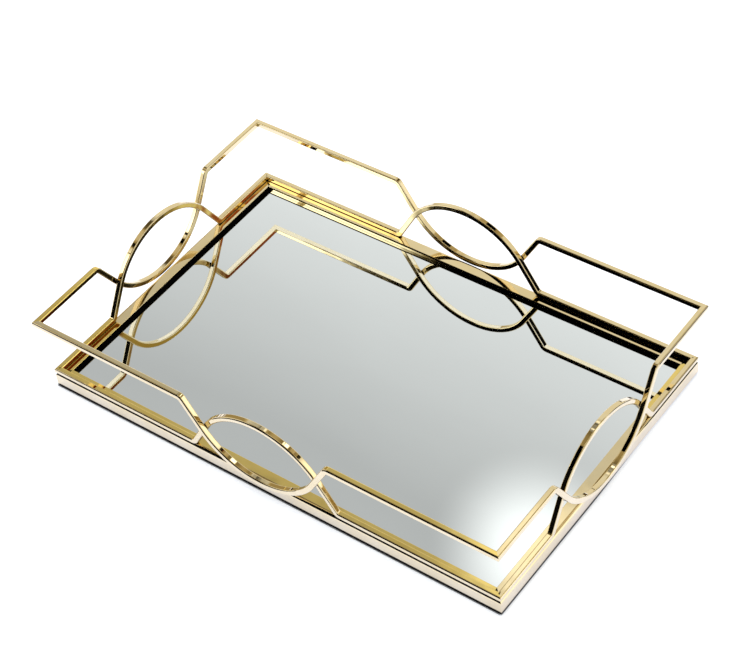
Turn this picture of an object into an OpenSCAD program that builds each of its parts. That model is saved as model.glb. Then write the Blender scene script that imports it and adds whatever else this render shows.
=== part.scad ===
// Rectangular mirror tray for a dresser: a mitred metal frame around a glass mirror,
// with a gallery of bent square wire on all four sides.
// X runs along the long sides, Y along the short sides, Z up from the surface it stands on.

/* [Base frame] */
// Outer length of the base frame, along X
base_l = 400; // [300:1:500]
// Outer width of the base frame, along Y
base_w = 256; // [200:1:320]
// Width of a frame bar, seen from above
bar_w = 9.5; // [6:0.5:14]
// Height of a frame bar
bar_h = 12; // [10:0.5:18]
// Wall thickness of the frame's tube
bar_wall = 1; // [0.6:0.1:2]
// Rounding of the frame's long edges
bar_r = 1.5; // [0.5:0.1:2]

/* [Wire gallery] */
// Side of the square wire
wire = 4.5; // [3:0.25:6]
// Rounding of the wire's long edges
wire_r = 0.8; // [0.2:0.1:1.2]
// Height of the upper rail's top above the frame's top face
rail_rise = 55.5; // [44:0.5:66]
// Distance from the middle of a side to the bends on either side of it
lens_half = 64; // [52:1:76]
// Slope of the wire's legs between a bend and the arc
leg_angle = 59; // [50:1:65]
// Centre-line radius of the small bends
bend_r = 4; // [3.5:0.5:8]
// How far the upper wire's arc hangs below the frame's top face
arc_drop = 1.5; // [0:0.5:4]

/* [Mirror and base] */
// Thickness of the mirror glass
glass_t = 3; // [2:0.5:4]
// Depth of the mirror's face below the frame's top face
recess = 4; // [2:0.5:5]
// Thickness of the felt under the tray
felt_t = 0.5; // [0.5:0.25:3]
// Distance from the frame's outer face to the felt's edge
felt_inset = 2.5; // [1:0.5:6]
// Gap left around the glass and the board
fit_gap = 0.3; // [0.1:0.1:0.8]

/* [Hidden] */
$fn = 96;
gold = [0.84, 0.70, 0.44];
mirror_silver = [0.78, 0.80, 0.80];
board_brown = [0.62, 0.48, 0.33];
felt_black = [0.12, 0.12, 0.13];

// Heights of the stack, from the felt upwards
bar_top = felt_t + bar_h;
glass_top = bar_top - recess;
board_top = glass_top - glass_t;

// Glass and board fill the frame's opening, less the gap
inner_l = base_l - 2 * (bar_w + fit_gap);
inner_w = base_w - 2 * (bar_w + fit_gap);

// Centre lines of the two wires, which share one shape: the lower wire is the upper one turned over
upper_rail_z = bar_top + rail_rise - wire / 2;
upper_arc_z = bar_top - arc_drop + wire / 2;
arc_rise = upper_rail_z - upper_arc_z;
lower_rail_z = bar_top + wire / 2;
lower_arc_z = lower_rail_z + arc_rise;

// The arc is tangent to both legs, which sets its radius and the length of the legs
arc_r = (lens_half - arc_rise / tan(leg_angle)) / tan(leg_angle / 2);
arc_end = arc_r * [sin(leg_angle), 1 - cos(leg_angle)];
bend_trim = bend_r * tan(leg_angle / 2);
leg = (arc_rise - arc_end[1]) / sin(leg_angle) - bend_trim;

// The legs are this much slimmer on each face than the curves, and reach this far into them
leg_slim = 0.02;
leg_seat = 0.2;

// The cutters for the mitres reach this far past what they cut
over = 2;

// Least rounding inside the frame's tube, where its wall is as thick as the outside's rounding
core_r_least = 0.1;

// Turns about Z that carry a piece drawn for the front to each side
front_angle = 0;
right_angle = 90;
back_angle = 180;
left_angle = 270;

// Length of a side, and the distance between it and the side across from it
function span(side_angle) = side_angle % 180 == 0 ? base_l : base_w;
function across(side_angle) = side_angle % 180 == 0 ? base_w : base_l;

// Puts a piece drawn along X, with the frame's outer face at y = 0 and the tray's inside at +y, on a side
module on_side(side_angle) {
    rotate(side_angle) translate([0, -across(side_angle) / 2, 0]) children();
}

// Everything between the two mitre planes of a side
module mitre_wedge(side_angle) {
    out = wire + over;
    in = bar_w + over;
    half = span(side_angle) / 2;
    outline = [[-half - out, -out], [half + out, -out], [half - in, in], [-half + in, in]];
    translate([0, 0, -over]) linear_extrude(lower_arc_z + wire + 2 * over) polygon(outline);
}

// Rectangle with true round corners, centred
module rounded_rect(size, r) {
    square([size[0] - 2 * r, size[1]], center = true);
    square([size[0], size[1] - 2 * r], center = true);
    for (x = [-1, 1], y = [-1, 1])
        translate([x * (size[0] / 2 - r), y * (size[1] / 2 - r)]) circle(r);
}

// Extrudes a section drawn in Y and Z along X
module along_x(length) {
    rotate([90, 0, 90]) linear_extrude(length) children();
}

// Section of the wire, drawn slimmer where it seats inside a curve
module wire_section(slim = 0) {
    face = wire - 2 * slim;
    rounded_rect([face, face], wire_r);
}

// Half of a wire lying flat: the arc from its lowest point, a leg, a bend and the run to the corner
module half_wire(half_span) {
    bend_start = arc_end + leg * [cos(leg_angle), sin(leg_angle)];
    bend_centre = bend_start + bend_r * [sin(leg_angle), -cos(leg_angle)];
    translate([0, arc_r, 0]) rotate(-90)
        rotate_extrude(angle = leg_angle) translate([arc_r, 0]) wire_section();
    translate(arc_end) rotate(leg_angle) translate([-leg_seat, 0, 0])
        along_x(leg + 2 * leg_seat) wire_section(leg_slim);
    translate(bend_centre) rotate(90)
        rotate_extrude(angle = leg_angle) translate([bend_r, 0]) wire_section();
    translate([bend_centre[0], arc_rise, 0]) along_x(half_span - bend_centre[0]) wire_section();
}

// Whole wire lying flat, long enough to be mitred at both corners
module flat_wire(side_angle) {
    half_span = span(side_angle) / 2 + wire + over;
    half_wire(half_span);
    mirror([1, 0, 0]) half_wire(half_span);
}

// Tube of the base frame on one side
module frame_bar(side_angle) {
    length = span(side_angle);
    core = [bar_w - 2 * bar_wall, bar_h - 2 * bar_wall];
    core_r = max(bar_r - bar_wall, core_r_least);
    color(gold) on_side(side_angle) intersection() {
        translate([-length / 2, bar_w / 2, felt_t + bar_h / 2]) along_x(length) difference() {
            rounded_rect([bar_w, bar_h], bar_r);
            rounded_rect(core, core_r);
        }
        mitre_wedge(side_angle);
    }
}

// Wire that lies on the frame, flush with its outer face, and arches up at the middle of the side
module lower_wire(side_angle) {
    color(gold) on_side(side_angle) intersection() {
        translate([0, wire / 2, lower_arc_z]) rotate([90, 0, 0]) mirror([0, 1, 0]) flat_wire(side_angle);
        mitre_wedge(side_angle);
    }
}

// Wire that carries the rail, outside the lower one, and dips to the frame at the middle of the side
module upper_wire(side_angle) {
    color(gold) on_side(side_angle) intersection() {
        translate([0, -wire / 2, upper_arc_z]) rotate([90, 0, 0]) flat_wire(side_angle);
        mitre_wedge(side_angle);
    }
}

// Flat sheet centred on the tray
module sheet(length, width, bottom, top) {
    translate([0, 0, bottom]) linear_extrude(top - bottom) square([length, width], center = true);
}

module mirror_plate() {
    color(mirror_silver) sheet(inner_l, inner_w, board_top, glass_top);
}

module base_board() {
    color(board_brown) sheet(inner_l, inner_w, felt_t, board_top);
}

module felt_sheet() {
    color(felt_black) sheet(base_l - 2 * felt_inset, base_w - 2 * felt_inset, 0, felt_t);
}

frame_bar(front_angle);  // frame_front
frame_bar(right_angle);  // frame_right
frame_bar(back_angle);  // frame_back
frame_bar(left_angle);  // frame_left
lower_wire(front_angle);  // lower_wire_front
lower_wire(right_angle);  // lower_wire_right
lower_wire(back_angle);  // lower_wire_back
lower_wire(left_angle);  // lower_wire_left
upper_wire(front_angle);  // upper_wire_front
upper_wire(right_angle);  // upper_wire_right
upper_wire(back_angle);  // upper_wire_back
upper_wire(left_angle);  // upper_wire_left
mirror_plate();
base_board();
felt_sheet();
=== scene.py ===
"""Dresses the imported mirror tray: rounded gold bars and bent wires, mirror glass, felt and a plain studio.

The tray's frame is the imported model's: X along the long sides, Y along the short sides, Z up from the
surface it stands on, in metres. Pieces are numpy surfaces, most of them a closed profile carried along
a path.
"""

import logging
import math
from dataclasses import dataclass
from enum import Enum, IntEnum
from typing import ClassVar, Mapping, Optional, Sequence, Union

import bpy
import numpy as np
from mathutils import Matrix


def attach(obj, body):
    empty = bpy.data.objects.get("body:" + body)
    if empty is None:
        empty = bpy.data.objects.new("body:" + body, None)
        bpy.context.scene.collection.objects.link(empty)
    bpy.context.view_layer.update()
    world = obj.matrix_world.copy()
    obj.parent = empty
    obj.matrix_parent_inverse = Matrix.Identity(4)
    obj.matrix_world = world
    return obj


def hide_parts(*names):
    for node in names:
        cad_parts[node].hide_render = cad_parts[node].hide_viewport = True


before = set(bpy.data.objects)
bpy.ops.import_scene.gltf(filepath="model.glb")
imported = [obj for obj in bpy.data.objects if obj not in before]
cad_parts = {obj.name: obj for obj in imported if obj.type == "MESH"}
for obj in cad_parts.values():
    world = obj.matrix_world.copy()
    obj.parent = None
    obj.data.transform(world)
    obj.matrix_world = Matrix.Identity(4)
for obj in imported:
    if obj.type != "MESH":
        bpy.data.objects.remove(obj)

log = logging.getLogger("tray")
MM = 0.001
BODY = "root"
SWEEP_UV = "sweep"
ARC_STEPS, LEG_STEPS, BEND_STEPS, RUN_STEPS = 48, 8, 12, 24
WHOLE_SIDE, FROM_MIDDLE = -1.0, 0.0
Socket = bpy.types.NodeSocket
Value = Union[float, Socket]
Triple = tuple[float, float, float]
Span = tuple[float, float]
Paint = Union[Triple, Socket]
NOISE_SPAN: Span = (0.3, 0.7)
WHITE: Triple = (1.0, 1.0, 1.0)


class Side(Enum):
    """The four sides of the tray, each with its number of quarter turns from the front."""

    FRONT = 0
    RIGHT = 1
    BACK = 2
    LEFT = 3

    @property
    def label(self) -> str:
        """Name of the side as the nodes write it."""
        return self.name.lower()

    def place(self, along: np.ndarray, out: np.ndarray, up: np.ndarray) -> np.ndarray:
        """Turns coordinates of the front side about Z until they lie on this side.

        Args:
            along: Distance along the side, to the right seen from outside.
            out: Distance outwards from the tray's middle.
            up: Height.

        Returns:
            Points in the tray's frame, with x, y, z in the last axis.
        """
        turns = {
            Side.FRONT: (along, -out),
            Side.RIGHT: (out, along),
            Side.BACK: (-along, out),
            Side.LEFT: (-out, -along),
        }
        x, y = turns[self]
        return np.stack(np.broadcast_arrays(x, y, up), axis=-1)


class Level(Enum):
    """The two wires on each side."""

    LOWER = "lower"
    UPPER = "upper"


@dataclass(frozen=True)
class TraySizes:
    """Driving sizes of the tray, in metres and degrees, and what follows from them."""

    base_l: float = 400 * MM
    base_w: float = 256 * MM
    bar_w: float = 9.5 * MM
    bar_h: float = 12 * MM
    bar_top_r: float = 2.7 * MM
    bar_low_r: float = 1.5 * MM
    bar_inner_r: float = 0.3 * MM
    wire: float = 4.5 * MM
    wire_r: float = 0.8 * MM
    wire_outer_r: float = 1.1 * MM
    seam_r: float = 1.5 * MM
    rail_rise: float = 55.5 * MM
    lens_half: float = 64 * MM
    leg_angle: float = 59.0
    bend_r: float = 4 * MM
    arc_drop: float = 1.5 * MM
    glass_t: float = 3 * MM
    recess: float = 4 * MM
    felt_t: float = 0.5 * MM
    felt_inset: float = 2.5 * MM
    hair: float = 0.01 * MM

    @property
    def bar_top(self) -> float:
        """Height of the frame's top face."""
        return self.felt_t + self.bar_h

    @property
    def glass_top(self) -> float:
        """Height of the mirror's face."""
        return self.bar_top - self.recess

    @property
    def upper_arc_z(self) -> float:
        """Height of the upper wire's centre line at the bottom of its arc."""
        return self.bar_top - self.arc_drop + self.wire / 2

    @property
    def arc_rise(self) -> float:
        """Height of a wire's rail above the bottom of its arc, centre line to centre line."""
        return self.bar_top + self.rail_rise - self.wire / 2 - self.upper_arc_z

    @property
    def lower_arc_z(self) -> float:
        """Height of the lower wire's centre line at the top of its arch."""
        return self.bar_top + self.wire / 2 + self.arc_rise

    @property
    def arc_r(self) -> float:
        """Centre-line radius of the arc that is tangent to both legs."""
        slope = math.radians(self.leg_angle)
        return (self.lens_half - self.arc_rise / math.tan(slope)) / math.tan(slope / 2)

    def span(self, side: Side) -> float:
        """Length of a side of the frame."""
        return self.base_l if side in (Side.FRONT, Side.BACK) else self.base_w

    def reach(self, side: Side) -> float:
        """Distance from the tray's middle to the frame's outer face on a side."""
        return (self.base_w if side in (Side.FRONT, Side.BACK) else self.base_l) / 2


@dataclass(frozen=True)
class Profile:
    """Closed section of a bar or wire: a rectangle with round edges.

    Each corner is a quarter circle of its own radius about a centre that lies one radius inside both faces,
    and straight faces join the quarters. Points are even in angle on the quarters and even in length on the
    faces. The radii are those of the outer top, inner top, inner bottom and outer bottom edges.
    """

    width: float
    height: float
    radii: tuple[float, float, float, float]
    edge_steps: int = 10
    face_steps: int = 4

    @property
    def corner_steps(self) -> int:
        """Number of points from the start of one corner to the start of the next."""
        return self.edge_steps + self.face_steps

    def inner_wall(self, steps: Optional[int] = None) -> np.ndarray:
        """True for each point that starts a step down the inner face, or only one of its first steps."""
        first = self.corner_steps + self.edge_steps
        step = np.arange(4 * self.corner_steps)
        return (step >= first) & (step < first + (self.face_steps if steps is None else steps))

    def upper_faces(self) -> np.ndarray:
        """True for each point that starts a step on the top face, the inner top edge or the inner face."""
        step = np.arange(4 * self.corner_steps)
        return (step >= self.edge_steps) & (step < 2 * self.corner_steps)

    def outline(self) -> tuple[np.ndarray, np.ndarray]:
        """Points and outward unit normals, counter-clockwise, as rows of across and up."""
        sign = np.array([[1, 1], [-1, 1], [-1, -1], [1, -1]], dtype=float)
        radii = np.array(self.radii)[:, None]
        centres = sign * (np.array([self.width, self.height]) / 2 - radii)
        turn = np.linspace(0, np.pi / 2, self.edge_steps + 1)[None] + np.arange(4)[:, None] * np.pi / 2
        facing = np.stack([np.cos(turn), np.sin(turn)], axis=-1)
        rounds = centres[:, None] + radii[:, None] * facing
        share = (np.arange(1, self.face_steps) / self.face_steps)[:, None]
        ends = np.roll(rounds[:, 0], -1, axis=0)[:, None]
        flats = rounds[:, -1:] * (1 - share) + ends * share
        flat_facing = np.repeat(facing[:, -1:], self.face_steps - 1, axis=1)
        points = np.concatenate([rounds, flats], axis=1).reshape(-1, 2)
        return points, np.concatenate([facing, flat_facing], axis=1).reshape(-1, 2)

    def girth(self) -> np.ndarray:
        """Distance around the section to each point, with the whole girth at the end."""
        p = self.outline()[0]
        step = np.linalg.norm(np.roll(p, -1, axis=0) - p, axis=1)
        return np.concatenate([[0.0], np.cumsum(step)])


@dataclass(frozen=True)
class PlanePath:
    """A path in the upright plane of a side: points along and up, and the unit direction at each."""

    points: np.ndarray
    heading: np.ndarray

    def lengths(self) -> np.ndarray:
        """Distance along the path to each point."""
        step = np.linalg.norm(np.diff(self.points, axis=0), axis=1)
        return np.concatenate([[0.0], np.cumsum(step)])

    def upturned(self) -> "PlanePath":
        """The same path turned over, with up reversed."""
        flip = np.array([1.0, -1.0])
        return PlanePath(self.points * flip, self.heading * flip)

    def raised(self, height: float) -> "PlanePath":
        """The same path, lifted."""
        return PlanePath(self.points + [0.0, height], self.heading)


def bent_wire_path(sizes: TraySizes, half: float) -> PlanePath:
    """Centre line of a wire that runs level, dips in a round arc at mid-side and runs level again.

    The right half is an arc about (0, arc_r) from straight down to the leg's slope, a straight leg, a bend of
    radius bend_r back to level, and a run. The left half is its mirror image.

    Args:
        sizes: The tray's sizes.
        half: Distance from the middle of the side to the end of the run.

    Returns:
        The path from left to right, with the arc's bottom at height 0.
    """
    slope = math.radians(sizes.leg_angle)
    turn = np.linspace(0, slope, ARC_STEPS + 1)
    arc = sizes.arc_r * np.stack([np.sin(turn), 1 - np.cos(turn)], axis=1)
    trim = sizes.bend_r * math.tan(slope / 2)
    leg = (sizes.arc_rise - arc[-1, 1]) / math.sin(slope) - trim
    aim = np.array([math.cos(slope), math.sin(slope)])
    share = np.linspace(0, 1, LEG_STEPS + 1)[1:, None]
    legs = arc[-1] + share * leg * aim
    back = np.linspace(slope, 0, BEND_STEPS + 1)[1:]
    centre = legs[-1] + sizes.bend_r * np.array([math.sin(slope), -math.cos(slope)])
    bend = centre + sizes.bend_r * np.stack([-np.sin(back), np.cos(back)], axis=1)
    run = bend[-1] + np.linspace(0, 1, RUN_STEPS + 1)[1:, None] * [half - bend[-1, 0], 0.0]
    points = np.concatenate([arc, legs, bend, run])
    angle = np.concatenate([turn, np.full(len(legs), slope), back, np.zeros(len(run))])
    heading = np.stack([np.cos(angle), np.sin(angle)], axis=1)
    mirror = np.array([-1.0, 1.0])
    left, left_heading = points[:0:-1] * mirror, heading[:0:-1] * -mirror
    return PlanePath(np.concatenate([left, points]), np.concatenate([left_heading, heading]))


def straight_path(half: float, steps: int = 40) -> PlanePath:
    """Level path through the middle of a side, from -half to half."""
    along = np.linspace(-half, half, steps + 1)
    points = np.stack([along, np.zeros_like(along)], axis=1)
    return PlanePath(points, np.tile([1.0, 0.0], (len(along), 1)))


@dataclass
class SurfaceMesh:
    """Arrays of a mesh before it becomes an object, with a normal and a UV for each corner of a face."""

    points: np.ndarray
    faces: list[list[int]]
    corner_normals: np.ndarray
    corner_uv: np.ndarray
    face_slots: Optional[np.ndarray] = None

    def volume(self) -> float:
        """Signed volume inside the faces, which is positive when they point outwards."""
        total = 0.0
        by_size: dict[int, list[list[int]]] = {}
        for face in self.faces:
            by_size.setdefault(len(face), []).append(face)
        for size, group in by_size.items():
            p = self.points[np.array(group)]
            for k in range(1, size - 1):
                total += float(np.einsum("ij,ij->", p[:, 0], np.cross(p[:, k], p[:, k + 1])) / 6)
        return total

    def turned_out(self) -> "SurfaceMesh":
        """The same surface with its faces pointing outwards."""
        if self.volume() >= 0:
            return self
        sizes = np.array([len(f) for f in self.faces])
        ends = np.cumsum(sizes)
        order = np.concatenate([np.arange(e - 1, e - s - 1, -1) for e, s in zip(ends, sizes)])
        return SurfaceMesh(
            self.points,
            [f[::-1] for f in self.faces],
            self.corner_normals[order],
            self.corner_uv[order],
            self.face_slots,
        )

    def as_object(self, name: str, finishes: Sequence[bpy.types.Material]) -> bpy.types.Object:
        """Makes the piece's object, at the origin, with its finishes.

        Args:
            name: Name of the piece.
            finishes: Materials, in the order of face_slots.

        Returns:
            The new object.
        """
        ready = self.turned_out()
        mesh = bpy.data.meshes.new(name)
        mesh.from_pydata(ready.points.tolist(), [], ready.faces)
        for finish in finishes:
            mesh.materials.append(finish)
        mesh.polygons.foreach_set("use_smooth", np.ones(len(ready.faces), dtype=bool))
        if ready.face_slots is not None:
            mesh.polygons.foreach_set("material_index", ready.face_slots.astype(np.int32))
        layer = mesh.uv_layers.new(name=SWEEP_UV)
        layer.data.foreach_set("uv", ready.corner_uv.astype(np.float32).ravel())
        mesh.update()
        mesh.normals_split_custom_set(ready.corner_normals.tolist())
        return put_in_scene(name, mesh)


def put_in_scene(name: str, data: bpy.types.ID) -> bpy.types.Object:
    """Makes an object of a mesh, a camera or a light and links it to the scene."""
    item = bpy.data.objects.new(name, data)
    bpy.context.scene.collection.objects.link(item)
    return item


def tube_surface(
    rings: np.ndarray, normals: np.ndarray, lengths: np.ndarray, girth: np.ndarray
) -> SurfaceMesh:
    """Skins a row of closed rings with quads, and closes both ends with a flat face.

    Args:
        rings: Points of the rings, shaped (rings, points around, 3).
        normals: Unit normals at the same points.
        lengths: Distance along the path to each ring, which is the UV's u in metres.
        girth: Distance around to each point and back to the first, which is the UV's v in metres.

    Returns:
        The closed surface.
    """
    n, m = rings.shape[:2]
    i, j = np.meshgrid(np.arange(n - 1), np.arange(m), indexing="ij")
    k = (j + 1) % m
    quads = np.stack([i * m + j, (i + 1) * m + j, (i + 1) * m + k, i * m + k], axis=-1).reshape(-1, 4)
    u = np.stack([lengths[i], lengths[i + 1], lengths[i + 1], lengths[i]], axis=-1)
    v = np.stack([girth[j], girth[j], girth[j + 1], girth[j + 1]], axis=-1)
    side_uv = np.stack([u, v], axis=-1).reshape(-1, 2)
    flat = normals.reshape(-1, 3)
    points = rings.reshape(-1, 3)
    ends = [np.arange(m), (n - 1) * m + np.arange(m)[::-1]]
    end_normals = [np.tile(plane_normal(points[end]), (m, 1)) for end in ends]
    corner_normals = np.concatenate([flat[quads.ravel()], *end_normals])
    corner_uv = np.concatenate([side_uv, np.zeros((2 * m, 2))])
    faces = quads.tolist() + [end.tolist() for end in ends]
    return SurfaceMesh(points, faces, corner_normals, corner_uv)


def plane_normal(loop: np.ndarray) -> np.ndarray:
    """Unit normal of a flat loop by the right-hand rule: the cross products of its points in turn, summed."""
    area = np.cross(loop, np.roll(loop, -1, axis=0)).sum(axis=0)
    return area / np.linalg.norm(area)


def mitred_sweep(
    side: Side, profile: Profile, path: PlanePath, middle: float, reach: float, half: float
) -> SurfaceMesh:
    """Carries a profile along a path on one side of the tray and cuts both ends on the corners' mitre planes.

    A ring's point is the path's point, moved by the profile's up along the path's own normal and by the
    profile's across outwards. In the end rings, a point at distance d out from the frame's outer face lies at
    half + d along the side, which is the plane at 45 degrees through the corner.

    Args:
        side: Side of the tray.
        profile: Section of the piece.
        path: Centre line in the side's upright plane.
        middle: Distance of the centre line out from the frame's outer face.
        reach: Distance of the frame's outer face from the tray's middle.
        half: Half the length of the frame on this side.

    Returns:
        The piece's surface.
    """
    section, facing = profile.outline()
    above = np.stack([-path.heading[:, 1], path.heading[:, 0]], axis=1)
    along = path.points[:, :1] + above[:, :1] * section[:, 1]
    up = path.points[:, 1:] + above[:, 1:] * section[:, 1]
    out = np.broadcast_to(middle + section[:, 0], along.shape)
    along[0], along[-1] = -(half + out[0]), half + out[-1]
    rings = side.place(along, reach + out, up)
    normals = side.place(
        above[:, :1] * facing[:, 1], np.broadcast_to(facing[:, 0], along.shape), above[:, 1:] * facing[:, 1]
    )
    return tube_surface(rings, normals, path.lengths(), profile.girth())


def with_ends(slots: np.ndarray) -> np.ndarray:
    """Slots of a swept piece's faces, row by row, with the first slot for its two flat ends."""
    return np.concatenate([slots.ravel(), [0, 0]]).astype(np.int32)


def add_piece(
    surface: SurfaceMesh, name: str, finishes: Sequence[bpy.types.Material], node: str
) -> bpy.types.Object:
    """Puts a finished piece on the tray's body and hides the node that it stands for.

    Args:
        surface: The piece's surface.
        name: Name of the piece.
        finishes: Its materials.
        node: Node that the piece replaces.

    Returns:
        The piece's object.
    """
    piece = surface.as_object(name, finishes)
    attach(piece, BODY)
    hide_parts(node)
    log.info("%s: %d points", name, len(surface.points))
    return piece


@dataclass
class NodeSheet:
    """A node tree with short calls for the nodes that the finishes use."""

    tree: bpy.types.NodeTree

    def add(self, kind: str, **settings: object) -> bpy.types.Node:
        """Adds a node and sets its properties."""
        node = self.tree.nodes.new(kind)
        for key, value in settings.items():
            setattr(node, key, value)
        return node

    def wire(self, source: Union[Value, Sequence[float]], target: Socket) -> None:
        """Links a socket to another, or sets a plain value."""
        if isinstance(source, bpy.types.NodeSocket):
            self.tree.links.new(source, target)
        else:
            target.default_value = source

    def feed(self, node: bpy.types.Node, inputs: Mapping[str, Union[Value, Sequence[float]]]) -> None:
        """Links or sets a node's inputs by their names."""
        for name, source in inputs.items():
            self.wire(source, node.inputs[name])

    def object_place(self) -> Socket:
        """The piece's own coordinates, in metres."""
        return self.add("ShaderNodeTexCoord").outputs["Object"]

    def parts(self, place: Socket) -> Sequence[Socket]:
        """The x, y and z of a place or direction."""
        node = self.add("ShaderNodeSeparateXYZ")
        self.wire(place, node.inputs[0])
        return node.outputs

    def math(self, operation: str, first: Value, second: Value = 0.0) -> Socket:
        """One Math node's result."""
        node = self.add("ShaderNodeMath", operation=operation)
        self.wire(first, node.inputs[0])
        self.wire(second, node.inputs[1])
        return node.outputs[0]

    def ease(self, value: Value, start: float, end: float, low: Value = 0.0, high: Value = 1.0) -> Socket:
        """Maps a value smoothly from the range start to end onto the range low to high."""
        node = self.add("ShaderNodeMapRange", interpolation_type="SMOOTHSTEP")
        for slot, source in zip(node.inputs[:5], (value, start, end, low, high)):
            self.wire(source, slot)
        return node.outputs[0]

    def noise(self, place: Socket, scale: float, detail: float = 2.0) -> Socket:
        """A noise texture's factor."""
        node = self.add("ShaderNodeTexNoise")
        self.feed(node, {"Vector": place, "Scale": scale, "Detail": detail})
        return node.outputs[0]

    def stretched(self, place: Socket, scale: Triple) -> Socket:
        """Coordinates stretched along their axes."""
        node = self.add("ShaderNodeMapping")
        self.feed(node, {"Vector": place, "Scale": scale})
        return node.outputs[0]

    def blend(self, share: Value, first: Paint, second: Paint) -> Socket:
        """Mixes two colours, each a socket or plain red, green and blue."""
        node = self.add("ShaderNodeMix", data_type="RGBA")
        # Of the node's many sockets, 6 and 7 are the two colours and output 2 is their mix.
        for number, source in ((0, share), (6, first), (7, second)):
            plain = isinstance(source, tuple)
            self.wire((*source, 1.0) if plain else source, node.inputs[number])
        return node.outputs[2]

    def openness(self, reach: float, samples: int = 8) -> Socket:
        """Share of the directions above the surface that nothing blocks within a reach in metres."""
        node = self.add("ShaderNodeAmbientOcclusion", samples=samples)
        self.feed(node, {"Distance": reach})
        return node.outputs["AO"]

    def bump(self, height: Socket, depth: float, before: Optional[Socket] = None) -> Socket:
        """A bump of that depth in metres, on top of another."""
        node = self.add("ShaderNodeBump")
        self.feed(node, {"Strength": 1.0, "Distance": depth, "Height": height})
        if before is not None:
            self.wire(before, node.inputs["Normal"])
        return node.outputs[0]


def new_material(name: str) -> tuple[bpy.types.Material, NodeSheet, bpy.types.Node]:
    """Makes a node material.

    Args:
        name: Name of the finish.

    Returns:
        The material, its node sheet and its Principled shader.
    """
    material = bpy.data.materials.new(name)
    material.use_nodes = True
    tree = material.node_tree
    return material, NodeSheet(tree), tree.nodes["Principled BSDF"]


@dataclass(frozen=True)
class PolishedGold:
    """Polished gold plating, buffed along the piece, a little wavy and uneven in tone, with painted shade in
    its grooves.

    The scales are waves in a metre, and the lines' scale is along and around the piece.
    """

    name: str = "polished_gold"
    tone: Triple = (0.83, 0.69, 0.40)
    deep_tone: Triple = (0.80, 0.645, 0.34)
    tone_scale: float = 38.0
    groove_shade_tone: Triple = (0.035, 0.022, 0.008)
    groove_shade_reach: float = 1.6 * MM
    groove_shade_limits: Span = (0.32, 0.85)
    roughness: Span = (0.0285, 0.0513)
    rub_scale: float = 260.0
    rub_limits: Span = (0.3, 0.75)
    wave_scale: float = 55.0
    wave_depth: float = 0.07 * MM
    line_scale: Triple = (60.0, 5200.0, 1.0)
    line_depth: float = 0.0006 * MM

    def material(self) -> bpy.types.Material:
        """Builds the finish's material."""
        material, sheet, shader = new_material(self.name)
        place = sheet.object_place()
        uv = sheet.add("ShaderNodeUVMap", uv_map=SWEEP_UV).outputs[0]
        tone = sheet.noise(place, self.tone_scale, detail=3.0)
        lines = sheet.noise(sheet.stretched(uv, self.line_scale), 1.0)
        waves = sheet.noise(place, self.wave_scale, detail=1.0)
        rub = sheet.noise(place, self.rub_scale, detail=4.0)
        plating = sheet.blend(sheet.ease(tone, *NOISE_SPAN), self.tone, self.deep_tone)
        # Painted shade: the base colour goes dark where nearby faces block the open directions, in seams and
        # inner corners.
        unshaded = sheet.ease(sheet.openness(self.groove_shade_reach), *self.groove_shade_limits)
        sheet.feed(shader, {
            "Base Color": sheet.blend(unshaded, self.groove_shade_tone, plating),
            "Metallic": 1.0,
            "Roughness": sheet.ease(rub, *self.rub_limits, *self.roughness),
            "Normal": sheet.bump(lines, self.line_depth, sheet.bump(waves, self.wave_depth)),
        })
        return material


@dataclass(frozen=True)
class DarkWallAndShade:
    """Near-black matt finish, a little uneven, for the wall above the mirror: all of it on the short bars,
    and a painted shadow line under the ledge on the long bars.
    """

    name: str = "dark_wall_and_shade"
    tone: Triple = (0.0015, 0.0013, 0.0013)
    mottled: Triple = (0.004, 0.003, 0.0025)
    mottle_scale: float = 420.0
    mottle_limits: Span = (0.35, 0.75)
    roughness: Span = (0.45, 0.6)

    def material(self) -> bpy.types.Material:
        """Builds the finish's material."""
        material, sheet, shader = new_material(self.name)
        mottle = sheet.noise(sheet.object_place(), self.mottle_scale, detail=4.0)
        sheet.feed(shader, {
            "Base Color": sheet.blend(sheet.ease(mottle, *self.mottle_limits), self.tone, self.mottled),
            "Roughness": sheet.ease(mottle, *NOISE_SPAN, *self.roughness),
            "Specular IOR Level": 0.0,
        })
        return material


@dataclass(frozen=True)
class SilveredGlass:
    """Silver seen through clear glass, with a trace of wiping marks."""

    name: str = "silvered_glass"
    tone: Triple = (0.83, 0.872, 0.855)
    dim_share: float = 0.985
    wipe_scale: Triple = (9.0, 26.0, 1.0)
    wipe_limits: Span = (0.35, 0.7)
    roughness: Span = (0.015, 0.033)
    dull_limits: Span = (0.45, 0.8)
    coat: float = 0.5
    coat_roughness: float = 0.02

    def material(self) -> bpy.types.Material:
        """Builds the finish's material."""
        material, sheet, shader = new_material(self.name)
        wipes = sheet.noise(sheet.stretched(sheet.object_place(), self.wipe_scale), 1.0, detail=4.0)
        dim = tuple(self.dim_share * c for c in self.tone)
        sheet.feed(shader, {
            "Base Color": sheet.blend(sheet.ease(wipes, *self.wipe_limits), self.tone, dim),
            "Metallic": 1.0,
            "Roughness": sheet.ease(wipes, *self.dull_limits, *self.roughness),
            "Coat Weight": self.coat,
            "Coat Roughness": self.coat_roughness,
        })
        return material


@dataclass(frozen=True)
class GlassEdge:
    """Ground edge of the mirror: dull green glass with grinding marks."""

    name: str = "ground_glass_edge"
    tone: Triple = (0.20, 0.32, 0.27)
    pale: Triple = (0.34, 0.46, 0.41)
    mark_scale: float = 900.0
    roughness: Span = (0.28, 0.5)

    def material(self) -> bpy.types.Material:
        """Builds the finish's material."""
        material, sheet, shader = new_material(self.name)
        marks = sheet.noise(sheet.object_place(), self.mark_scale, detail=4.0)
        sheet.feed(shader, {
            "Base Color": sheet.blend(marks, self.tone, self.pale),
            "Roughness": sheet.ease(marks, *NOISE_SPAN, *self.roughness),
        })
        return material


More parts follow.
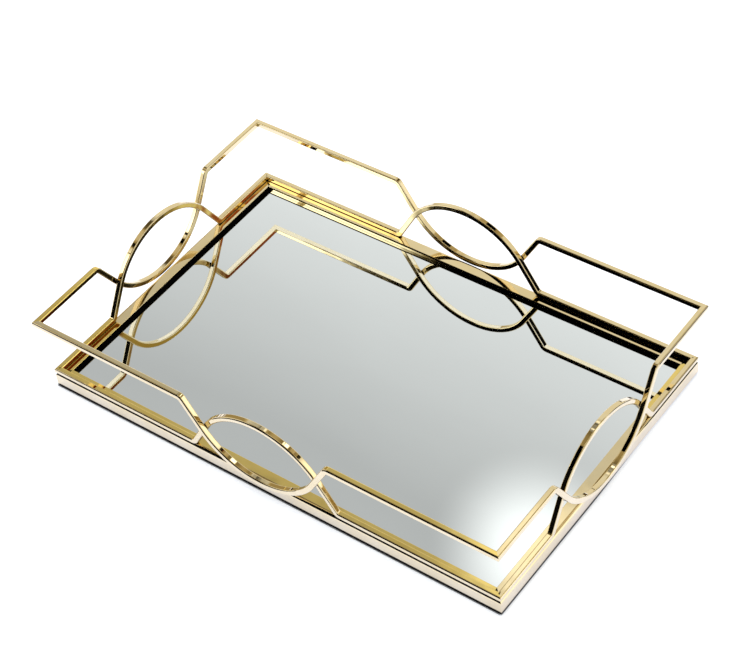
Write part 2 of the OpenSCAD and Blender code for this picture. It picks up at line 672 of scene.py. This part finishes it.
@dataclass(frozen=True)
class Felt:
    """Pressed black felt: matted fibres of slightly different greys."""

    name: str = "black_felt"
    dark: Triple = (0.010, 0.010, 0.011)
    light: Triple = (0.034, 0.034, 0.037)
    mix_limits: Span = (0.25, 0.75)
    fibre_scale: float = 1400.0
    fibre_depth: float = 0.15 * MM
    clump_scale: float = 160.0
    clump_lift: float = 0.5
    roughness: float = 0.95
    sheen: float = 0.15

    def material(self) -> bpy.types.Material:
        """Builds the finish's material."""
        material, sheet, shader = new_material(self.name)
        place = sheet.object_place()
        fibres = sheet.noise(place, self.fibre_scale, detail=6.0)
        clumps = sheet.noise(place, self.clump_scale, detail=3.0)
        mix = sheet.math("MULTIPLY", fibres, sheet.math("ADD", clumps, self.clump_lift))
        sheet.feed(shader, {
            "Base Color": sheet.blend(sheet.ease(mix, *self.mix_limits), self.dark, self.light),
            "Roughness": self.roughness,
            "Sheen Weight": self.sheen,
            "Normal": sheet.bump(fibres, self.fibre_depth),
        })
        return material


@dataclass(frozen=True)
class Fibreboard:
    """Raw fibreboard: brown with short pale and dark fibres."""

    name: str = "fibreboard"
    dark: Triple = (0.22, 0.14, 0.08)
    light: Triple = (0.46, 0.33, 0.20)
    fibre_stretch: Triple = (1.0, 2.2, 1.0)
    fibre_scale: float = 700.0
    fibre_depth: float = 0.08 * MM
    roughness: float = 0.85

    def material(self) -> bpy.types.Material:
        """Builds the finish's material."""
        material, sheet, shader = new_material(self.name)
        place = sheet.stretched(sheet.object_place(), self.fibre_stretch)
        fibres = sheet.noise(place, self.fibre_scale, detail=5.0)
        sheet.feed(shader, {
            "Base Color": sheet.blend(sheet.ease(fibres, *NOISE_SPAN), self.dark, self.light),
            "Roughness": self.roughness,
            "Normal": sheet.bump(fibres, self.fibre_depth),
        })
        return material


class BarFinish(IntEnum):
    """Finishes of a bar's faces, in the order of its materials."""

    GOLD = 0
    # Near-black wall finish; on the long bars a painted shadow line.
    WALL_SHADE = 1
    # Darker, more saturated gold: painted shade.
    SHADED_GOLD = 2


@dataclass
class BaseFrame:
    """The four mitred tube bars under the gallery, gold with a near-black finish on the wall above the
    mirror.

    The short bars' walls are dark all over, and the long bars' walls only in a painted shadow line along
    their top. From some way along a side, the upper faces have a darker, more saturated gold, which is
    painted shade.
    """

    sizes: TraySizes
    gold: bpy.types.Material
    wall_shade: bpy.types.Material
    shaded_gold: bpy.types.Material
    wall_steps: ClassVar[int] = 8
    dark_steps: ClassVar[Mapping[Side, int]] = {Side.FRONT: 1, Side.RIGHT: 8, Side.BACK: 1, Side.LEFT: 8}
    shaded_from: ClassVar[Mapping[Side, float]] = {
        Side.FRONT: WHOLE_SIDE, Side.RIGHT: 60 * MM, Side.LEFT: 60 * MM
    }

    def build(self) -> None:
        """Makes the bars, each a flat-faced profile with buffed edges carried along its side."""
        s = self.sizes
        radii = (s.bar_top_r, s.bar_inner_r, s.bar_inner_r, s.bar_low_r)
        profile = Profile(s.bar_w, s.bar_h, radii, face_steps=self.wall_steps)
        for side in Side:
            half = s.span(side) / 2
            path = straight_path(half).raised(s.felt_t + s.bar_h / 2)
            surface = mitred_sweep(side, profile, path, -s.bar_w / 2, s.reach(side), half)
            # Painted shade: from some way along the side, the upper faces take a darker, more saturated copy
            # of the gold.
            shaded = (path.points[:-1, :1] > self.shaded_from.get(side, half)) & profile.upper_faces()
            slots = np.where(shaded, BarFinish.SHADED_GOLD, BarFinish.GOLD)
            # The wall's near-black finish: on the long bars only a painted shadow line under the ledge.
            slots = np.where(profile.inner_wall(self.dark_steps[side]), BarFinish.WALL_SHADE, slots)
            surface.face_slots = with_ends(slots)
            finishes = [self.gold, self.wall_shade, self.shaded_gold]
            add_piece(surface, f"frame_bar_{side.label}", finishes, f"frame_{side.label}")


@dataclass
class WireGallery:
    """The two bent wires on each side. On some straight runs the upper faces have a darker, more saturated
    gold, which is painted shade.
    """

    sizes: TraySizes
    gold: bpy.types.Material
    shaded_gold: bpy.types.Material
    shaded_inside: ClassVar[tuple[Side, Level]] = (Side.LEFT, Level.LOWER)
    shaded_from: ClassVar[Mapping[tuple[Side, Level], float]] = {
        (Side.FRONT, Level.LOWER): WHOLE_SIDE,
        (Side.FRONT, Level.UPPER): FROM_MIDDLE,
        (Side.LEFT, Level.LOWER): FROM_MIDDLE,
        (Side.LEFT, Level.UPPER): FROM_MIDDLE,
    }

    def build(self) -> None:
        """Makes the wires: the upper one dips to the frame, the lower one is the same path turned over."""
        s = self.sizes
        face = s.wire - 2 * s.hair
        profiles = {
            Level.LOWER: Profile(face, face, (s.wire_outer_r, s.wire_r, s.wire_r, s.seam_r)),
            Level.UPPER: Profile(face, face, (s.wire_outer_r, s.wire_r, s.wire_r, s.wire_r)),
        }
        for side in Side:
            half = s.span(side) / 2
            dip = bent_wire_path(s, half)
            shapes = {
                Level.LOWER: (dip.upturned().raised(s.lower_arc_z), -s.wire / 2),
                Level.UPPER: (dip.raised(s.upper_arc_z), s.wire / 2),
            }
            for level, (path, middle) in shapes.items():
                profile = profiles[level]
                surface = mitred_sweep(side, profile, path, middle, s.reach(side), half)
                shaded = self.shaded_faces(side, level, profile, path)
                surface.face_slots = with_ends(shaded)
                node = f"{level.value}_wire_{side.label}"
                add_piece(surface, f"bent_{node}", [self.gold, self.shaded_gold], node)

    def shaded_faces(self, side: Side, level: Level, profile: Profile, path: PlanePath) -> np.ndarray:
        """Which faces of a wire carry the darker, more saturated gold that is painted shade.

        Args:
            side: Side of the tray.
            level: Lower or upper wire.
            profile: The wire's section.
            path: The wire's centre line.

        Returns:
            True for each such face, shaped (steps along, steps around).
        """
        along = path.points[:-1, :1]
        on_run = np.abs(along) > self.sizes.lens_half
        # Painted shade: these faces take a darker, more saturated copy of the gold.
        shaded = on_run & (along > self.shaded_from.get((side, level), np.inf)) & profile.upper_faces()
        if (side, level) == self.shaded_inside:
            shaded |= profile.inner_wall()
        return shaded


@dataclass
class MirrorBed:
    """The mirror glass, the board under it and the felt below."""

    sizes: TraySizes
    silver: bpy.types.Material
    edge: bpy.types.Material
    felt: bpy.types.Material
    board: bpy.types.Material
    arris: float = 0.02 * MM
    felt_edge_steps: int = 8

    def build(self) -> None:
        """Makes the glass and the felt, and finishes the board's node."""
        self.build_glass()
        self.build_felt()
        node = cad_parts["base_board"]
        node.data.materials.clear()
        node.data.materials.append(self.board)

    def build_glass(self) -> None:
        """Makes the glass: a plate with a narrow ground arris all round, silvered on its face."""
        s = self.sizes
        half_l = s.base_l / 2 - s.bar_w - s.hair
        half_w = s.base_w / 2 - s.bar_w - s.hair
        low, high = s.glass_top - s.glass_t, s.glass_top
        insets = np.array([self.arris, 0.0, 0.0, self.arris])
        heights = np.array([low, low + self.arris, high - self.arris, high])
        surface = plate_surface(half_l, half_w, insets, heights)
        add_piece(surface, "mirror_glass", [self.silver, self.edge], "mirror_plate")

    def build_felt(self) -> None:
        """Makes the felt: a thin sheet with a soft round edge, glued under the board and the frame."""
        s = self.sizes
        half_l, half_w = s.base_l / 2 - s.felt_inset, s.base_w / 2 - s.felt_inset
        turn = np.linspace(-np.pi / 2, np.pi / 2, self.felt_edge_steps + 1)
        insets = s.felt_t / 2 * (1 - np.cos(turn))
        heights = s.felt_t / 2 * (1 + np.sin(turn))
        surface = plate_surface(half_l, half_w, insets, heights)
        surface.face_slots = None
        piece = add_piece(surface, "felt_base", [self.felt], "felt_sheet")


def plate_surface(half_l: float, half_w: float, insets: np.ndarray, heights: np.ndarray) -> SurfaceMesh:
    """A rectangular plate whose edge is a row of rectangles, each with its own inset and height.

    Args:
        half_l: Half the plate's length, along X.
        half_w: Half its width, along Y.
        insets: How far each rectangle lies inside the plate's outline, from the bottom up.
        heights: Height of each rectangle.

    Returns:
        The closed plate. Its top face and its top row of edge faces have slot 0 and the rest have slot 1.
    """
    corner = np.array([[-1, -1], [1, -1], [1, 1], [-1, 1]], dtype=float)
    n = len(insets)
    xy = corner[None] * (np.array([half_l, half_w]) - insets[:, None, None])
    z = np.broadcast_to(heights[:, None, None], (n, 4, 1))
    points = np.concatenate([xy, z], axis=-1).reshape(-1, 3)
    i, j = np.meshgrid(np.arange(n - 1), np.arange(4), indexing="ij")
    k = (j + 1) % 4
    quads = np.stack([i * 4 + j, i * 4 + k, (i + 1) * 4 + k, (i + 1) * 4 + j], axis=-1).reshape(-1, 4)
    faces = quads.tolist() + [[3, 2, 1, 0], [4 * n - 4, 4 * n - 3, 4 * n - 2, 4 * n - 1]]
    flat = np.stack([plane_normal(points[f]) for f in faces])
    slots = np.ones(len(faces), dtype=np.int32)
    slots[-1] = 0
    slots[4 * (n - 2):4 * (n - 1)] = 0
    index = np.array(faces).ravel()
    return SurfaceMesh(points, faces, np.repeat(flat, 4, axis=0), points[index, :2], slots)


@dataclass(frozen=True)
class PhotoCamera:
    """Camera at the photograph's viewing angle; the angles are in degrees and the focal length in pixels."""

    azimuth: float = -48.33
    elevation: float = 45.279
    roll: float = -7.624
    distance: float = 1.58
    target: Triple = (-0.02697, 0.03926, 0.0)
    focal_px: float = 2096.5
    image_width: int = 750
    sensor_width: float = 36.0
    clip: Span = (0.05, 50.0)

    def build(self) -> None:
        """Makes the scene's camera from its direction, roll and focal length."""
        az, el, roll = (math.radians(a) for a in (self.azimuth, self.elevation, self.roll))
        back = np.array([math.cos(el) * math.cos(az), math.cos(el) * math.sin(az), math.sin(el)])
        level = np.cross(-back, [0.0, 0.0, 1.0])
        level /= np.linalg.norm(level)
        rise = np.cross(level, -back)
        right = math.cos(roll) * level + math.sin(roll) * rise
        up = math.cos(roll) * rise - math.sin(roll) * level
        place = np.eye(4)
        place[:3, :3] = np.stack([right, up, back], axis=1)
        place[:3, 3] = np.array(self.target) + self.distance * back
        data = bpy.data.cameras.new("photo_camera")
        data.sensor_width = self.sensor_width
        data.lens = self.focal_px / self.image_width * self.sensor_width
        data.clip_start, data.clip_end = self.clip
        camera = put_in_scene("photo_camera", data)
        camera.matrix_world = Matrix(place.tolist())
        bpy.context.scene.camera = camera


@dataclass(frozen=True)
class SoftCard:
    """A card in the surround: an upright window of bearings and heights, in degrees, with soft edges."""

    right: float
    left: float
    low: float
    high: float
    soft: float = 2.0
    depth: float = 1.0

    def shade(self, sheet: NodeSheet, bearing: Socket, height: Socket) -> Socket:
        """Share of the light that the card lets through: a product of four smooth steps taken from one.

        Args:
            sheet: Node sheet of the surround.
            bearing: Degrees to the left of straight behind the tray.
            height: Degrees above the floor.

        Returns:
            The share's socket.
        """
        inside: Value = self.depth
        for value, start, end in (
            (bearing, self.right - self.soft, self.right),
            (bearing, self.left + self.soft, self.left),
            (height, self.low - self.soft, self.low),
            (height, self.high + self.soft, self.high),
        ):
            inside = sheet.math("MULTIPLY", inside, sheet.ease(value, start, end))
        return sheet.math("SUBTRACT", 1.0, inside)


@dataclass(frozen=True)
class Lamp:
    """A round lamp in the surround, with its bearing, height, radius and soft edge in degrees."""

    bearing: float
    height: float
    radius: float
    soft: float
    level: float

    def glow(self, sheet: NodeSheet, direction: Socket, behind: float) -> Socket:
        """Level that the lamp adds: a smooth step of the angle to its middle.

        Args:
            sheet: Node sheet of the surround.
            direction: Unit direction of the ray.
            behind: Azimuth straight behind the tray, in degrees.

        Returns:
            The level's socket.
        """
        az, el = math.radians(behind + self.bearing), math.radians(self.height)
        dot = sheet.add("ShaderNodeVectorMath", operation="DOT_PRODUCT")
        sheet.wire(direction, dot.inputs[0])
        aim = (math.cos(el) * math.cos(az), math.cos(el) * math.sin(az), math.sin(el))
        sheet.wire(aim, dot.inputs[1])
        angle = sheet.math("DEGREES", sheet.math("ARCCOSINE", dot.outputs["Value"]))
        return sheet.ease(angle, self.radius, self.radius + self.soft, self.level, 0.0)


@dataclass(frozen=True)
class FoldedCard:
    """A black card that only polished faces see: half lies on the floor and half stands up from the fold.

    The near edge and the fold are lines between two places on the floor, in metres.
    """

    name: str
    near: tuple[Span, Span]
    fold: tuple[Span, Span]
    top: float
    lift: float = 0.4 * MM

    def build(self, finish: bpy.types.Material) -> None:
        """Makes the card's two faces."""
        rows = ((self.near, self.lift), (self.fold, self.lift), (self.fold, self.top))
        points = [(*end, height) for line, height in rows for end in line]
        mesh = bpy.data.meshes.new(self.name)
        mesh.from_pydata(points, [], [(0, 1, 3, 2), (2, 3, 5, 4)])
        mesh.materials.append(finish)
        card = put_in_scene(self.name, mesh)
        card.visible_camera = card.visible_diffuse = card.visible_shadow = False


@dataclass
class Studio:
    """Plain pale floor, a bright surround with cards and small lamps, and a soft lamp overhead.

    Bearings and heights are in degrees, and ramps are rows of an angle and the level there.
    """

    behind: float = 131.7
    floor_half: float = 6.0
    floor_tone: Triple = (0.61, 0.63, 0.66)
    floor_glow: float = 0.72
    floor_tint: Triple = (0.81, 0.85, 0.92)
    sheen_tint: Triple = (0.72, 0.84, 1.45)
    shadow_tone: Triple = (0.006, 0.006, 0.007)
    shadow_reach: float = 2.3 * MM
    shadow_limits: Span = (0.68, 1.0)
    lit_span: Span = (-20 * MM, 60 * MM)
    lit_edges: Span = (199.6 * MM, 198.4 * MM)
    lit_soft: float = 1.2 * MM
    lit_levels: Span = (0.85, 1.0)
    lamp_power: float = 20.0
    lamp_size: float = 1.6
    lamp_place: Triple = (-0.25, 0.35, 1.7)
    card_tone: Triple = (0.004, 0.004, 0.004)
    floor_cards: Sequence[FoldedCard] = (
        FoldedCard("front_card", ((-0.42, -0.185), (0.30, -0.185)), ((-0.42, -0.35), (0.30, -0.35)), 0.42),
        FoldedCard("side_card", ((0.257, 0.106), (0.257, 0.27)), ((0.45, 0.228), (0.45, 0.44)), 0.16),
    )
    warm_tint: Triple = (1.0, 0.80, 0.42)
    warm_levels: Span = (0.35, 1.0)
    screens: Sequence[SoftCard] = (
        SoftCard(-97.5, -93.3, 43, 47, 0.5),
        SoftCard(-88.6, -86.4, 41, 47, 0.5),
    )
    screen_tint: Triple = (0.36, 0.08, 0.02)
    plain_bearing: Span = (13.0, 16.0)
    plain_height: Span = (36.0, 39.0)
    lean: float = 0.51
    lean_span: float = 12.0
    lean_fade: Span = (20.0, 45.0)
    walls: Sequence[Span] = (
        (-180, 0.95), (-112, 0.95), (-106, 1.7), (-99, 1.7), (-95, 0.95), (-60, 0.95), (-8, 0.93),
        (0, 1.0), (12, 1.0), (15, 0.40), (24, 0.42), (40, 0.80), (60, 0.95), (84, 1.5), (92, 2.7),
        (98, 2.7), (104, 2.0), (122, 1.3), (130, 0.95), (180, 0.95),
    )
    heights: Sequence[Span] = (
        (0, 0.95), (41, 0.94), (49.5, 0.54), (51.3, 0.55), (52.4, 0.26), (53.5, 0.22), (68, 0.34),
        (76, 0.7), (90, 0.75),
    )
    cards: Sequence[SoftCard] = (
        SoftCard(105, 120.5, -90, 36),
        SoftCard(99.5, 120.5, 34, 66, 1.5),
        SoftCard(86, 101, 43.7, 70, 0.9),
        SoftCard(70, 118, 50.5, 72),
        SoftCard(-97, -90.5, 39.5, 42.9, 0.7, 0.97),
        SoftCard(-97, -86, 42.9, 46.5, 1.0, 0.5),
        SoftCard(-85, -70, 40, 47, 1.5, 0.45),
        SoftCard(-70, -53, 47.5, 57, 2.5),
        SoftCard(-3, 3, 53.2, 56, 0.8, 0.6),
    )
    lamps: Sequence[Lamp] = (
        Lamp(-5.4, 51.5, 0.0, 2.8, 0.78),
        Lamp(-11, 57, 4.0, 4.0, 0.25),
        Lamp(-14.0, 57.5, 0.8, 1.6, 0.8),
        Lamp(-73.0, 56.8, 3.2, 1.8, 2.2),
        Lamp(6.0, 62.4, 1.0, 1.0, 1.8),
        Lamp(50, 53, 6.0, 6.0, 0.45),
        Lamp(-40, 54.5, 7.0, 6.0, 0.25),
    )

    def build(self) -> None:
        """Makes the floor, the cards, the surround and the lamp."""
        self.build_floor()
        self.build_cards()
        self.build_surround()
        self.build_lamp()
        bpy.context.scene.view_settings.view_transform = "Standard"

    def build_floor(self) -> None:
        """Makes the floor: pale and matt, and white where the camera or a mirror sees it.

        It carries a painted shadow in its colour and its glow: dark where the tray stands close above it, but
        less so beside the right bar, past an edge that comes nearer to the bar, and grows lighter, towards
        the back.
        """
        h = self.floor_half
        mesh = bpy.data.meshes.new("floor")
        mesh.from_pydata([(-h, -h, 0.0), (h, -h, 0.0), (h, h, 0.0), (-h, h, 0.0)], [], [(0, 1, 2, 3)])
        put_in_scene("floor", mesh)
        material, sheet, shader = self.matt_material("pale_floor")
        rays = sheet.add("ShaderNodeLightPath").outputs
        seen = sheet.math("MAXIMUM", rays["Is Glossy Ray"], rays["Is Transmission Ray"])
        seen = sheet.math("MAXIMUM", seen, rays["Is Camera Ray"])
        x, y, _ = sheet.parts(sheet.object_place())
        past = sheet.math("SUBTRACT", x, sheet.ease(y, *self.lit_span, *self.lit_edges))
        most = sheet.ease(y, *self.lit_span, *self.lit_levels)
        lit = sheet.ease(past, 0.0, self.lit_soft, 0.0, most)
        # Painted shadow: colour and glow go dark where the tray blocks nearby directions, and lit lightens
        # it.
        bare = sheet.ease(sheet.openness(self.shadow_reach), *self.shadow_limits)
        bare = sheet.math("MAXIMUM", bare, lit)
        glow = sheet.math("MULTIPLY", sheet.math("MULTIPLY", seen, bare), self.floor_glow)
        sheet.feed(shader, {
            "Base Color": sheet.blend(bare, self.shadow_tone, self.floor_tone),
            "Emission Color": sheet.blend(rays["Is Camera Ray"], self.sheen_tint, self.floor_tint),
            "Emission Strength": glow,
        })
        mesh.materials.append(material)

    def build_cards(self) -> None:
        """Makes the black cards on the floor."""
        material, sheet, shader = self.matt_material("black_card")
        sheet.feed(shader, {"Base Color": (*self.card_tone, 1.0)})
        for card in self.floor_cards:
            card.build(material)

    def matt_material(self, name: str) -> tuple[bpy.types.Material, NodeSheet, bpy.types.Node]:
        """Makes a node material without any shine; returns it with its node sheet and its shader."""
        material, sheet, shader = new_material(name)
        sheet.feed(shader, {"Roughness": 1.0, "Specular IOR Level": 0.0})
        return material, sheet, shader

    def build_surround(self) -> None:
        """Makes the surround: white to the camera, and walls, cards and lamps to everything else.

        The level is the product of a ramp over the bearing, counted from the direction behind the tray, and
        a ramp over the height above the floor, plus the lamps, times the share that each card lets through.
        Behind the tray the second ramp leans: its height grows with the bearing. Dim parts are warm, except
        behind the tray, and two red-brown screens stand at the right.
        """
        world = bpy.data.worlds.new("surround")
        world.use_nodes = True
        bpy.context.scene.world = world
        sheet = NodeSheet(world.node_tree)
        direction = sheet.add("ShaderNodeTexCoord").outputs["Generated"]
        x, y, z = sheet.parts(direction)
        turn = math.radians(self.behind)
        cos, sin = math.cos(turn), math.sin(turn)
        ahead = sheet.math("ADD", sheet.math("MULTIPLY", x, cos), sheet.math("MULTIPLY", y, sin))
        aside = sheet.math("SUBTRACT", sheet.math("MULTIPLY", y, cos), sheet.math("MULTIPLY", x, sin))
        bearing = sheet.math("DEGREES", sheet.math("ARCTAN2", aside, ahead))
        height = sheet.math("DEGREES", sheet.math("ARCSINE", z))
        within = sheet.math("MAXIMUM", sheet.math("MINIMUM", bearing, self.lean_span), -self.lean_span)
        swing = sheet.math("ABSOLUTE", bearing)
        fade = sheet.ease(swing, *self.lean_fade, 1.0, 0.0)
        tilt = sheet.math("MULTIPLY", sheet.math("MULTIPLY", within, self.lean), fade)
        leaning = sheet.math("ADD", height, tilt)
        wall = self.ramp(sheet, bearing, self.walls)
        level = sheet.math("MULTIPLY", wall, self.ramp(sheet, leaning, self.heights))
        for lamp in self.lamps:
            level = sheet.math("ADD", level, lamp.glow(sheet, direction, self.behind))
        for card in self.cards:
            level = sheet.math("MULTIPLY", level, card.shade(sheet, bearing, height))
        plain = sheet.ease(swing, *self.plain_bearing, 1.0, 0.0)
        plain = sheet.math("MULTIPLY", plain, sheet.ease(height, *self.plain_height))
        ray = sheet.add("ShaderNodeLightPath").outputs["Is Camera Ray"]
        dim = sheet.ease(level, *self.warm_levels, 1.0, 0.0)
        warm = sheet.math("SUBTRACT", dim, sheet.math("MAXIMUM", plain, ray))
        tint = sheet.blend(sheet.math("MAXIMUM", warm, 0.0), WHITE, self.warm_tint)
        for screen in self.screens:
            clear = sheet.math("MAXIMUM", screen.shade(sheet, bearing, height), ray)
            tint = sheet.blend(clear, self.screen_tint, tint)
        strength = sheet.math("MAXIMUM", level, ray)
        sheet.feed(world.node_tree.nodes["Background"], {"Strength": strength, "Color": tint})

    def ramp(self, sheet: NodeSheet, value: Socket, stops: Sequence[Span]) -> Socket:
        """Level at an angle, by straight lines between stops of angle and level.

        Args:
            sheet: Node sheet of the surround.
            value: The angle in degrees.
            stops: Angles in rising order and their levels.

        Returns:
            The level's socket.
        """
        first, last = stops[0][0], stops[-1][0]
        share = sheet.add("ShaderNodeMapRange")
        for slot, source in zip(share.inputs[:5], (value, first, last, 0.0, 1.0)):
            sheet.wire(source, slot)
        curve = sheet.add("ShaderNodeFloatCurve")
        top = max(level for _, level in stops)
        points = curve.mapping.curves[0].points
        while len(points) < len(stops):
            points.new(0.5, 0.5)
        for point, (angle, level) in zip(points, stops):
            point.location = ((angle - first) / (last - first), level / top)
            point.handle_type = "VECTOR"
        curve.mapping.update()
        sheet.wire(share.outputs[0], curve.inputs["Value"])
        return sheet.math("MULTIPLY", curve.outputs[0], top)

    def build_lamp(self) -> None:
        """Makes the soft lamp overhead, which lights matt surfaces and stays out of the reflections."""
        data = bpy.data.lights.new("soft_lamp", "AREA")
        data.shape, data.size, data.energy = "DISK", self.lamp_size, self.lamp_power
        lamp = put_in_scene("soft_lamp", data)
        lamp.location = self.lamp_place
        lamp.visible_glossy = lamp.visible_camera = False


def main() -> None:
    """Builds the tray's pieces, then the studio and the camera."""
    logging.basicConfig(level=logging.INFO, format="%(name)s %(message)s")
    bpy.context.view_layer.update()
    sizes = TraySizes()
    gold = PolishedGold().material()
    # Painted shade: a darker, more saturated copy of the gold for faces that look dim.
    shaded_gold = PolishedGold(
        name="shaded_gold", tone=(0.88, 0.67, 0.21), deep_tone=(0.82, 0.60, 0.165)
    ).material()
    PhotoCamera().build()
    BaseFrame(sizes, gold, DarkWallAndShade().material(), shaded_gold).build()
    WireGallery(sizes, gold, shaded_gold).build()
    bed_finishes = (SilveredGlass(), GlassEdge(), Felt(), Fibreboard())
    MirrorBed(sizes, *(finish.material() for finish in bed_finishes)).build()
    Studio().build()


if __name__ == "__main__":
    main()
